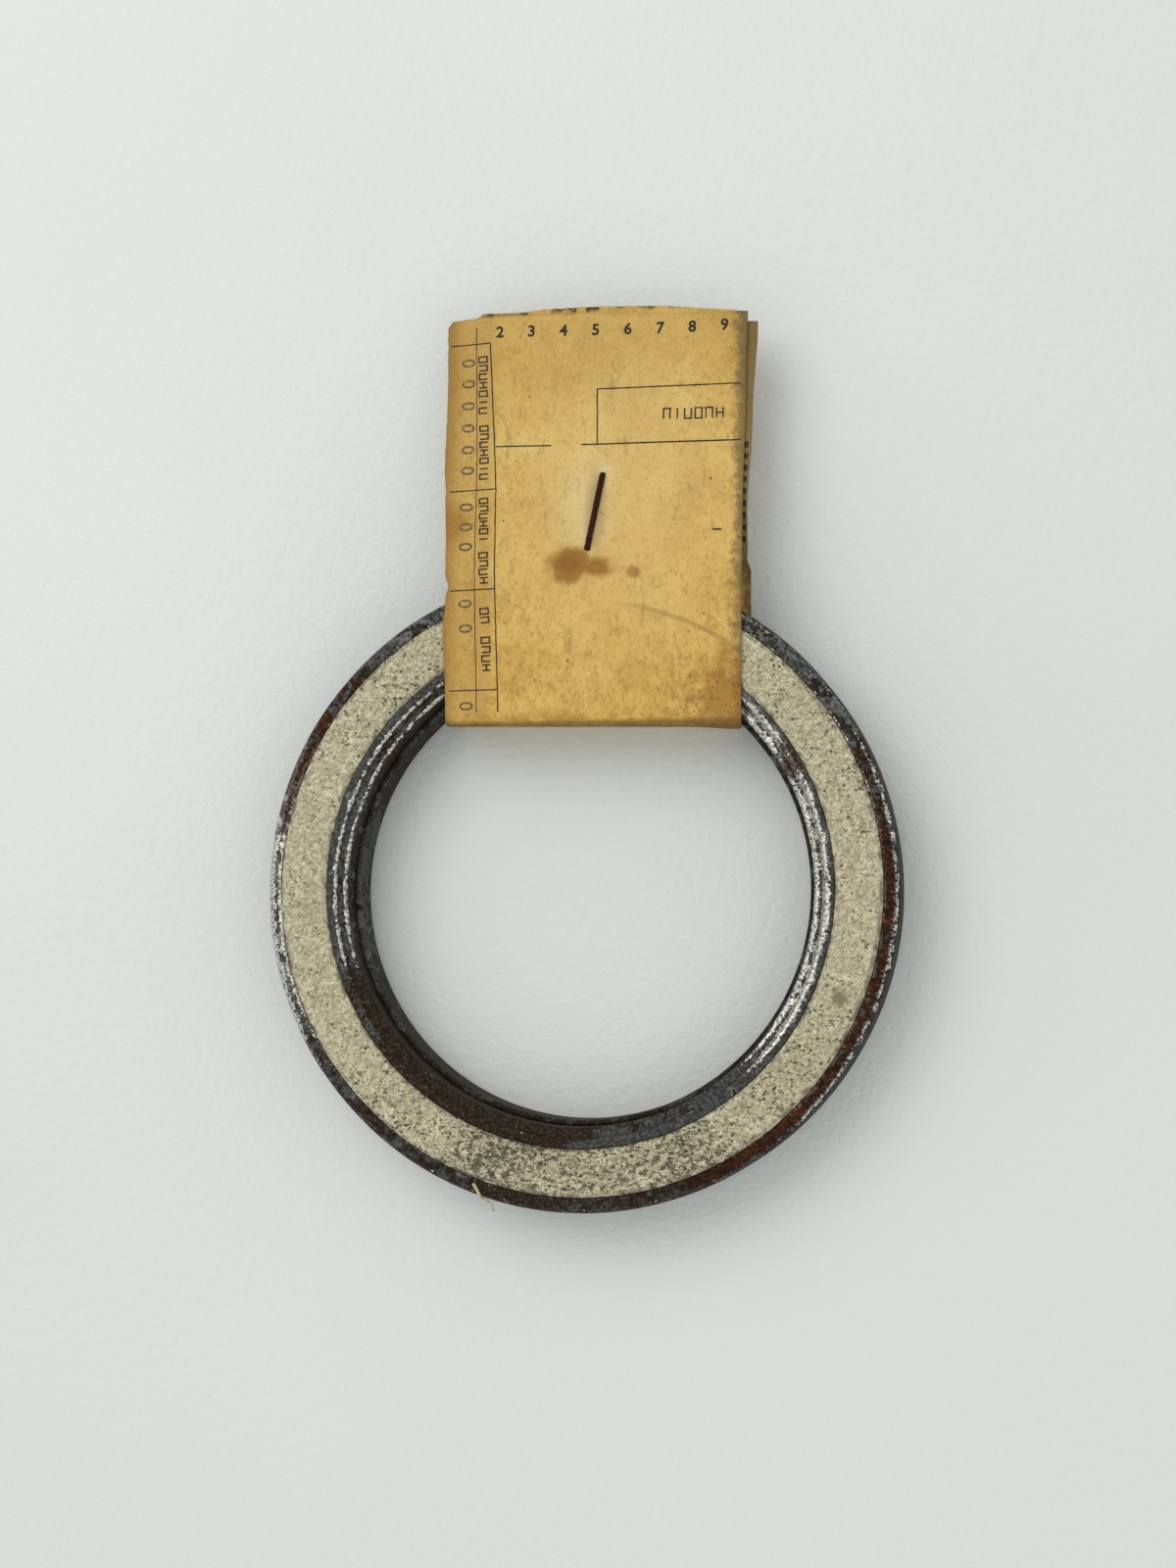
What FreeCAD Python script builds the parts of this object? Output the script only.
"""Felt-faced grease seal with a stock ticket stapled round it, as a parametric FreeCAD document.

Row frame, in millimetres: origin on the ring's axis at the shell's back face, +Z along the axis towards
the felt face, +Y the way that the ticket points. The ring's pieces are bodies of revolution about Z.
"""

import FreeCAD, Part  # noqa: E401

import math
import os

PARTS = "parts"

# name, value in millimetres (or degrees for an angle), what it is
DIMENSIONS = [
    ("shell_radius", 50.8, "press-fit outside of the shell, 4.000 in across"),
    ("shell_height", 12.3, "back face to the top of the rolled rim"),
    ("shell_gauge", 0.9, "sheet steel of the shell, 20 gauge"),
    ("shell_bend", 1.8, "outside bend radius of the shell"),
    ("rim_radius", 48.2, "free edge of the rolled rim"),
    ("bore_radius", 36.5, "clear bore, inside the shell's collar"),
    ("collar_top", 7.2, "back face to the top of the collar"),
    ("collar_bend", 1.5, "outside bend radius at the foot of the collar"),
    ("sleeve_gauge", 0.9, "sheet steel of the sleeve, 20 gauge"),
    ("sleeve_foot", 1.7, "back face to the sleeve's lower edge"),
    ("sleeve_lip", 11.2, "back face to the lip where the wall meets the cone"),
    ("lip_radius", 37.9, "foot of the cone"),
    ("cone_radius", 39.2, "top of the cone"),
    ("flange_radius", 40.7, "free edge of the sleeve's flange"),
    ("flange_top", 12.4, "back face to the top of the flange"),
    ("felt_top", 12.7, "back face to the felt's face, half an inch"),
    ("felt_gap", 0.1, "gap round the felt"),
    ("felt_round", 1.0, "rounding of the felt's hidden corners"),
    ("edge_round", 0.25, "broken edge of cut sheet and of the felt's face"),
    ("ticket_width", 48.0, "card, folded lengthways"),
    ("ticket_left", 21.6, "ring axis to the card's left edge"),
    ("ticket_gauge", 0.4, "two plies of card"),
    ("ticket_clear", 0.1, "gap between card and ring"),
    ("ticket_near", 24.8, "ring axis to the card's wall in the bore, on the ring's side"),
    ("ticket_lean_from", 7.5, "height where that wall starts to lean outwards"),
    ("ticket_near_top", 26.1, "ring axis to the top of that wall"),
    ("ticket_far", 94.0, "ring axis to the free end"),
    ("front_break", 50.5, "where the front leaf leaves the rim"),
    ("front_ease", 67.0, "where the front leaf eases its slope"),
    ("front_ease_top", 10.6, "height of the front leaf's underside there"),
    ("front_end_top", 8.6, "height of its free end's underside"),
    ("back_break", 51.15, "where the back leaf leaves the shell's face"),
    ("back_rise", 52.1, "top of the back leaf's steep run"),
    ("back_rise_top", 8.0, "height of the back leaf there"),
    ("back_meet", 61.5, "where the back leaf reaches the front leaf"),
    ("leaf_gap", 0.1, "gap between the two leaves"),
    ("ticket_fold", 0.9, "outside radius of the card's folds"),
    ("staple_crown", 12.7, "half-inch crown"),
    ("staple_deep_leg", 5.4, "leg through both leaves beside the ring"),
    ("staple_shallow_leg", 1.4, "leg through both leaves where they meet"),
    ("staple_deep_clinch", 1.5, "clinched end of the deep leg"),
    ("staple_shallow_clinch", 5.7, "clinched end of the shallow leg"),
    ("staple_wire", 0.6, "wire, across the flat"),
    ("staple_width", 0.95, "wire, along the flat"),
    ("staple_bend", 0.5, "outside radius of the wire's bends"),
    ("staple_x", 2.0, "crown's lower end, from the ring's axis"),
    ("staple_y", 53.2, "crown's lower end, from the ring's axis"),
    ("staple_yaw", 79.7, "crown's direction in plan, from +X"),
]


def make_sheet(doc):
    """The driving dimensions, one row each: alias, value, meaning."""
    sheet = doc.addObject("Spreadsheet::Sheet", "Dims")
    for row, (alias, value, meaning) in enumerate(DIMENSIONS, start=1):
        sheet.set(f"A{row}", alias)
        sheet.set(f"B{row}", str(value))
        sheet.set(f"C{row}", meaning)
        sheet.setAlias(f"B{row}", alias)
    doc.recompute()
    return sheet


def plane(body, role):
    """One of a body's own origin planes, by role."""
    return next(f for f in body.Origin.OriginFeatures if f.Role == role)


def outline(body, name, role, corners):
    """A closed straight-sided sketch. Each corner is a pair of expressions, both of them positive lengths."""
    sketch = body.newObject("Sketcher::SketchObject", name)
    sketch.AttachmentSupport = [(plane(body, role), "")]
    sketch.MapMode = "FlatFace"
    count = len(corners)
    rough = [
        FreeCAD.Vector(40 + 20 * math.cos(2 * math.pi * i / count), 40 + 20 * math.sin(2 * math.pi * i / count), 0)
        for i in range(count)
    ]
    for i in range(count):
        sketch.addGeometry(Part.LineSegment(rough[i], rough[(i + 1) % count]), False)
    return constrain(sketch, corners)


def constrain(sketch, corners):
    """Joins the sketch's lines end to end and ties each corner to its pair of expressions."""
    import Sketcher

    start, end, origin = 1, 2, -1
    count = len(corners)
    for i in range(count):
        sketch.addConstraint(Sketcher.Constraint("Coincident", i, end, (i + 1) % count, start))
    for i, (across, up) in enumerate(corners):
        point = sketch.getPoint(i, start)
        for kind, expression, now in (("DistanceX", across, point.x), ("DistanceY", up, point.y)):
            index = sketch.addConstraint(Sketcher.Constraint(kind, origin, start, i, start, now))
            label = f"corner{i}_{kind[-1]}"
            sketch.renameConstraint(index, label)
            sketch.setExpression(f"Constraints.{label}", expression)
    return sketch


def tied(*terms):
    """An expression in the sheet's aliases, which are written in braces: tied("{shell_radius} - 1")."""
    text = " ".join(terms)
    return text.replace("{", "Dims.").replace("}", "")


def corner(across, up):
    return tied(across), tied(up)


def new_body(doc, label):
    body = doc.addObject("PartDesign::Body", label)
    body.Label = label
    return body


def revolve(doc, label, corners):
    """A ring: the outline in the XZ plane, turned once round Z."""
    body = new_body(doc, label)
    sketch = outline(body, label + "_section", "XZ_Plane", corners)
    doc.recompute()
    turned = body.newObject("PartDesign::Revolution", label + "_turned")
    turned.Profile = sketch
    turned.ReferenceAxis = (sketch, ["V_Axis"])
    turned.Angle = 360
    doc.recompute()
    return body


def ring_edge(shape, radius, height, near=0.02):
    """The name of the circular edge round Z with that radius and height."""
    for i, edge in enumerate(shape.Edges, start=1):
        circle = edge.Curve
        if circle.TypeId != "Part::GeomCircle":
            continue
        if abs(circle.Radius - radius) < near and abs(circle.Center.z - height) < near:
            return f"Edge{i}"
    raise ValueError(f"no ring edge at radius {radius}, height {height}")


def round_edges(doc, body, name, radius, edges):
    """Fillets the named edges of the body's tip. The radius is an expression in the sheet's aliases."""
    base = body.Tip
    fillet = body.newObject("PartDesign::Fillet", name)
    fillet.Base = (base, edges)
    fillet.setExpression("Radius", tied(radius))
    doc.recompute()
    return fillet


def round_rings(doc, body, name, radius, spots):
    """Fillets the ring edges at the given (radius, height) spots."""
    edges = [ring_edge(body.Tip.Shape, across, up) for across, up in spots]
    return round_edges(doc, body, name, radius, edges)


def outer_shell(doc, size):
    """The pressed cup: outside wall, rim rolled in over the felt, floor, and collar turned up round the bore."""
    body = revolve(doc, "outer_shell", [
        corner("{bore_radius}", "0.0"),
        corner("{shell_radius}", "0.0"),
        corner("{shell_radius}", "{shell_height}"),
        corner("{rim_radius}", "{shell_height}"),
        corner("{rim_radius}", "{shell_height} - {shell_gauge}"),
        corner("{shell_radius} - {shell_gauge}", "{shell_height} - {shell_gauge}"),
        corner("{shell_radius} - {shell_gauge}", "{shell_gauge}"),
        corner("{bore_radius} + {shell_gauge}", "{shell_gauge}"),
        corner("{bore_radius} + {shell_gauge}", "{collar_top}"),
        corner("{bore_radius}", "{collar_top}"),
    ])
    wall, top, gauge = size["shell_radius"], size["shell_height"], size["shell_gauge"]
    bore, collar = size["bore_radius"], size["collar_top"]
    round_rings(doc, body, "shell_bends", "{shell_bend}", [(wall, 0), (wall, top)])
    inner = [(wall - gauge, gauge), (wall - gauge, top - gauge)]
    round_rings(doc, body, "shell_inner_bends", "{shell_bend} - {shell_gauge}", inner)
    round_rings(doc, body, "collar_outer_bend", "{collar_bend}", [(bore, 0)])
    round_rings(doc, body, "collar_inner_bend", "{collar_bend} - {shell_gauge}", [(bore + gauge, gauge)])
    cut = [(size["rim_radius"], top), (size["rim_radius"], top - gauge), (bore, collar), (bore + gauge, collar)]
    round_rings(doc, body, "shell_cut_edges", "{edge_round}", cut)
    return body


def inner_sleeve(doc, size):
    """The flanged sleeve, pressed over the collar: wall, small lip, cone, and flange over the felt's inner edge."""
    inside = "{bore_radius} + {shell_gauge}"
    outside = inside + " + {sleeve_gauge}"
    body = revolve(doc, "inner_sleeve", [
        corner(inside, "{sleeve_foot}"),
        corner(outside, "{sleeve_foot}"),
        corner(outside, "{sleeve_lip} - {sleeve_gauge} + {edge_round}"),
        corner("{cone_radius} + {edge_round}", "{flange_top} - {sleeve_gauge}"),
        corner("{flange_radius}", "{flange_top} - {sleeve_gauge}"),
        corner("{flange_radius}", "{flange_top}"),
        corner("{cone_radius}", "{flange_top}"),
        corner("{lip_radius}", "{sleeve_lip} + {edge_round}"),
        corner(inside, "{sleeve_lip}"),
    ])
    wall = size["bore_radius"] + size["shell_gauge"]
    top, flange = size["flange_top"], size["flange_radius"]
    bends = [
        (wall, size["sleeve_lip"]),
        (wall, size["sleeve_foot"]),
        (wall + size["sleeve_gauge"], size["sleeve_foot"]),
        (size["cone_radius"], top),
        (flange, top),
        (flange, top - size["sleeve_gauge"]),
    ]
    round_rings(doc, body, "sleeve_edges", "{edge_round}", bends)
    return body


def felt_ring(doc, size):
    """The felt, held down by the rim and the flange, with its face standing proud between them."""
    inside = "{bore_radius} + {shell_gauge} + {sleeve_gauge} + {felt_gap}"
    outside = "{shell_radius} - {shell_gauge} - {felt_gap}"
    under_rim = "{shell_height} - {shell_gauge} - {felt_gap}"
    under_flange = "{flange_top} - {sleeve_gauge} - {felt_gap}"
    body = revolve(doc, "felt_ring", [
        corner(inside, "{shell_gauge}"),
        corner(outside, "{shell_gauge}"),
        corner(outside, under_rim),
        corner("{rim_radius} - {felt_gap}", under_rim),
        corner("{rim_radius} - {felt_gap}", "{felt_top}"),
        corner("{flange_radius} + {felt_gap}", "{felt_top}"),
        corner("{flange_radius} + {felt_gap}", under_flange),
        corner("{cone_radius} + 3 * {felt_gap}", under_flange),
        corner(inside, "{sleeve_lip} - {sleeve_gauge}"),
    ])
    gap, gauge, top = size["felt_gap"], size["shell_gauge"], size["felt_top"]
    edge = size["shell_radius"] - gauge - gap
    hidden = [(edge, gauge), (edge, size["shell_height"] - gauge - gap)]
    round_rings(doc, body, "felt_hidden_corners", "{felt_round}", hidden)
    face = [(size["rim_radius"] - gap, top), (size["flange_radius"] + gap, top)]
    round_rings(doc, body, "felt_face_edges", "{edge_round}", face)
    return body


def strip(doc, body, name, role, path):
    """A closed sketch of sheet one gauge thick. The path is one face of the sheet; the other face's lines are
    parallel to it, one gauge off to the left of the path's direction."""
    import Sketcher

    start, end, origin, gauge = 1, 2, -1, "{ticket_gauge}"
    sketch = body.newObject("Sketcher::SketchObject", name)
    sketch.AttachmentSupport = [(plane(body, role), "")]
    sketch.MapMode = "FlatFace"
    doc.recompute()
    points = [
        FreeCAD.Vector(sketch.evalExpression(tied(a)), sketch.evalExpression(tied(b)), 0)
        for a, b in path
    ]
    thick = sketch.evalExpression(tied(gauge))
    far = offset_points(points, thick)
    near_count = len(points)
    loop = points + far[::-1]
    count = len(loop)
    for i in range(count):
        sketch.addGeometry(Part.LineSegment(loop[i], loop[(i + 1) % count]), False)
    for i in range(count):
        sketch.addConstraint(Sketcher.Constraint("Coincident", i, end, (i + 1) % count, start))
    for i, (across, up) in enumerate(path):
        for kind, expression, now in (("DistanceX", across, loop[i].x), ("DistanceY", up, loop[i].y)):
            index = sketch.addConstraint(Sketcher.Constraint(kind, origin, start, i, start, now))
            sketch.renameConstraint(index, f"near{i}_{kind[-1]}")
            sketch.setExpression(f"Constraints.near{i}_{kind[-1]}", tied(expression))
    for i in range(near_count - 1):
        other = count - 2 - i
        sketch.addConstraint(Sketcher.Constraint("Parallel", i, other))
        index = sketch.addConstraint(Sketcher.Constraint("Distance", other, start, i, thick))
        sketch.renameConstraint(index, f"thick{i}")
        sketch.setExpression(f"Constraints.thick{i}", tied(gauge))
    sketch.addConstraint(Sketcher.Constraint("Perpendicular", near_count - 2, near_count - 1))
    sketch.addConstraint(Sketcher.Constraint("Perpendicular", 0, count - 1))
    return sketch


def offset_points(points, thick):
    """The points of the parallel polyline, to the left of the direction of travel, with mitred corners."""
    normals = []
    for a, b in zip(points, points[1:]):
        along = (b - a).normalize()
        normals.append(FreeCAD.Vector(-along.y, along.x, 0))
    moved = [points[0] + normals[0] * thick]
    for point, before, after in zip(points[1:], normals, normals[1:]):
        mitre = before + after
        moved.append(point + mitre * (2 * thick / mitre.dot(mitre)))
    moved.append(points[-1] + normals[-1] * thick)
    return moved


def ticket_path():
    """The card's ring-side face in the YZ plane, from the back leaf's free end, under the ring, up through the
    bore, over the ring and out to the front leaf's free end. Heights are counted from the card's underside."""
    lift = " + {ticket_gauge} + {ticket_clear}"
    over_ring = "{felt_top} + {ticket_clear}" + lift
    slope = "({felt_top} + {ticket_clear} - {front_ease_top}) / ({front_ease} - {front_break})"
    meet = "{felt_top} + {ticket_clear} - ({back_meet} - {front_break}) * " + slope
    return [
        ("{ticket_far}", "{front_end_top} - {leaf_gap}" + lift),
        ("{front_ease}", "{front_ease_top} - {leaf_gap}" + lift),
        ("{back_meet}", meet + " - {leaf_gap}" + lift),
        ("{back_rise}", "{back_rise_top}" + lift),
        ("{back_break}", "{ticket_gauge}"),
        ("{ticket_near}", "{ticket_gauge}"),
        ("{ticket_near}", "{ticket_lean_from}" + lift),
        ("{ticket_near_top}", over_ring),
        ("{front_break}", over_ring),
        ("{front_ease}", "{front_ease_top}" + lift),
        ("{ticket_far}", "{front_end_top}" + lift),
    ]


def stock_ticket(doc, size):
    """The folded card, looped round the ring's section with its two leaves brought together beyond it."""
    body = new_body(doc, "stock_ticket")
    sketch = strip(doc, body, "ticket_section", "YZ_Plane", ticket_path())
    doc.recompute()
    pad = body.newObject("PartDesign::Pad", "ticket_pad")
    pad.Profile = sketch
    pad.setExpression("Length", tied("{ticket_width}"))
    doc.recompute()
    near = FreeCAD.Vector(size["ticket_near"], size["ticket_gauge"], 0)
    top = size["felt_top"] + 2 * size["ticket_clear"] + size["ticket_gauge"]
    near_top = FreeCAD.Vector(size["ticket_near_top"], top, 0)
    outer, inner = fold_spots(body.Tip.Shape, near, near_top, size["ticket_gauge"])
    round_folds(doc, body, "ticket_outer_folds", "{ticket_fold}", outer)
    round_folds(doc, body, "ticket_inner_folds", "{ticket_fold} - {ticket_gauge}", inner)
    drop = size["ticket_clear"] + size["ticket_gauge"]
    body.Placement = FreeCAD.Placement(FreeCAD.Vector(-size["ticket_left"], 0, -drop), FreeCAD.Rotation())
    return body


def fold_spots(shape, near, near_top, gauge):
    """The (y, z) spots of the outside and the inside edges of the two folds in the bore."""
    def closest(point, least):
        edges = [e.BoundBox for e in shape.Edges if e.BoundBox.XLength > 1]
        gaps = [(math.hypot(b.YMin - point.x, b.ZMin - point.y), b.YMin, b.ZMin) for b in edges]
        return min(gap for gap in gaps if gap[0] > least)[1:]

    half = gauge / 2
    outer = [closest(near, half), closest(near_top, half)]
    inner = [closest(near, -1), closest(near_top, -1)]
    return outer, inner


def round_folds(doc, body, name, radius, spots):
    """Fillets the edges that run along X through the given (y, z) spots."""
    edges = [
        f"Edge{i}"
        for i, edge in enumerate(body.Tip.Shape.Edges, start=1)
        for y, z in spots
        if edge.BoundBox.XLength > 1 and abs(edge.BoundBox.YMin - y) < 0.01 and abs(edge.BoundBox.ZMin - z) < 0.01
    ]
    return round_edges(doc, body, name, radius, edges)


def staple_corners():
    """The staple in its own XZ plane: crown on top, one leg deep and one shallow, both ends clinched in.
    Both coordinates are counted from the deep leg's corner."""
    crown, wire = "{staple_crown}", "{staple_wire}"
    foot = "{staple_deep_leg} - {staple_shallow_leg}"
    under = "{staple_wire} + {staple_deep_leg}"
    return [
        ("0.0", "0.0"),
        ("{staple_deep_clinch}", "0.0"),
        ("{staple_deep_clinch}", wire),
        (wire, wire),
        (wire, under),
        (crown + " - " + wire, under),
        (crown + " - " + wire, foot + " + " + wire),
        (crown + " - {staple_shallow_clinch}", foot + " + " + wire),
        (crown + " - {staple_shallow_clinch}", foot),
        (crown, foot),
        (crown, under + " + " + wire),
        ("0.0", under + " + " + wire),
    ]


def staple(doc, size):
    """The wire staple, driven from the front through both leaves and clinched behind."""
    body = new_body(doc, "staple")
    sketch = outline(body, "staple_outline", "XZ_Plane", [corner(a, b) for a, b in staple_corners()])
    doc.recompute()
    pad = body.newObject("PartDesign::Pad", "staple_pad")
    pad.Profile = sketch
    pad.SideType = "Symmetric"
    pad.setExpression("Length", tied("{staple_width}"))
    doc.recompute()
    width, wire, crown = size["staple_width"], size["staple_wire"], size["staple_crown"]
    under = wire + size["staple_deep_leg"]
    foot = size["staple_deep_leg"] - size["staple_shallow_leg"]
    spots = [(0, 0), (0, under + wire), (crown, under + wire), (crown, foot)]
    edges = [
        f"Edge{i}"
        for i, edge in enumerate(body.Tip.Shape.Edges, start=1)
        for x, z in spots
        if abs(edge.BoundBox.YLength - width) < 0.01
        and abs(edge.CenterOfMass.x - x) < 0.01 and abs(edge.CenterOfMass.z - z) < 0.01
    ]
    round_edges(doc, body, "staple_bends", "{staple_bend}", edges)
    body.Placement = staple_place(size)
    return body


def staple_place(size):
    """The crown's underside lies on the front leaf's slope, with its lower end at (staple_x, staple_y)."""
    over_ring = size["felt_top"] + size["ticket_clear"]
    slope = (over_ring - size["front_ease_top"]) / (size["front_ease"] - size["front_break"])
    height = over_ring - slope * (size["staple_y"] - size["front_break"])
    yaw = math.radians(size["staple_yaw"])
    along = FreeCAD.Vector(math.cos(yaw), math.sin(yaw), -math.sin(yaw) * slope).normalize()
    up = FreeCAD.Vector(0, slope, 1).normalize()
    turn = FreeCAD.Rotation(along, up.cross(along), up, "ZXY")
    crown_face = FreeCAD.Vector(size["staple_x"], size["staple_y"], height) + up * size["ticket_gauge"]
    return FreeCAD.Placement(crown_face - up * (size["staple_deep_leg"] + size["staple_wire"]), turn)


def checked(doc, bodies):
    """Stops with a message if any object failed or any sub-part isn't one valid solid."""
    for thing in doc.Objects:
        if "Invalid" in thing.State or "Error" in thing.State:
            raise RuntimeError(f"{thing.Name} failed: {thing.State}")
    for body in bodies:
        shape = body.Shape
        if shape.isNull() or not shape.isValid() or len(shape.Solids) != 1:
            raise RuntimeError(f"{body.Label} isn't one valid solid")
        print(f"{body.Label}: {shape.Volume:.1f} mm3, {shape.BoundBox}")
    return bodies


def main():
    doc = FreeCAD.newDocument("grease_seal")
    make_sheet(doc)
    size = {alias: value for alias, value, meaning in DIMENSIONS}
    bodies = [
        outer_shell(doc, size),
        inner_sleeve(doc, size),
        felt_ring(doc, size),
        stock_ticket(doc, size),
        staple(doc, size),
    ]
    doc.recompute()
    os.makedirs(PARTS, exist_ok=True)
    for body in checked(doc, bodies):
        body.Shape.exportStep(os.path.join(PARTS, body.Label + ".step"))


main()
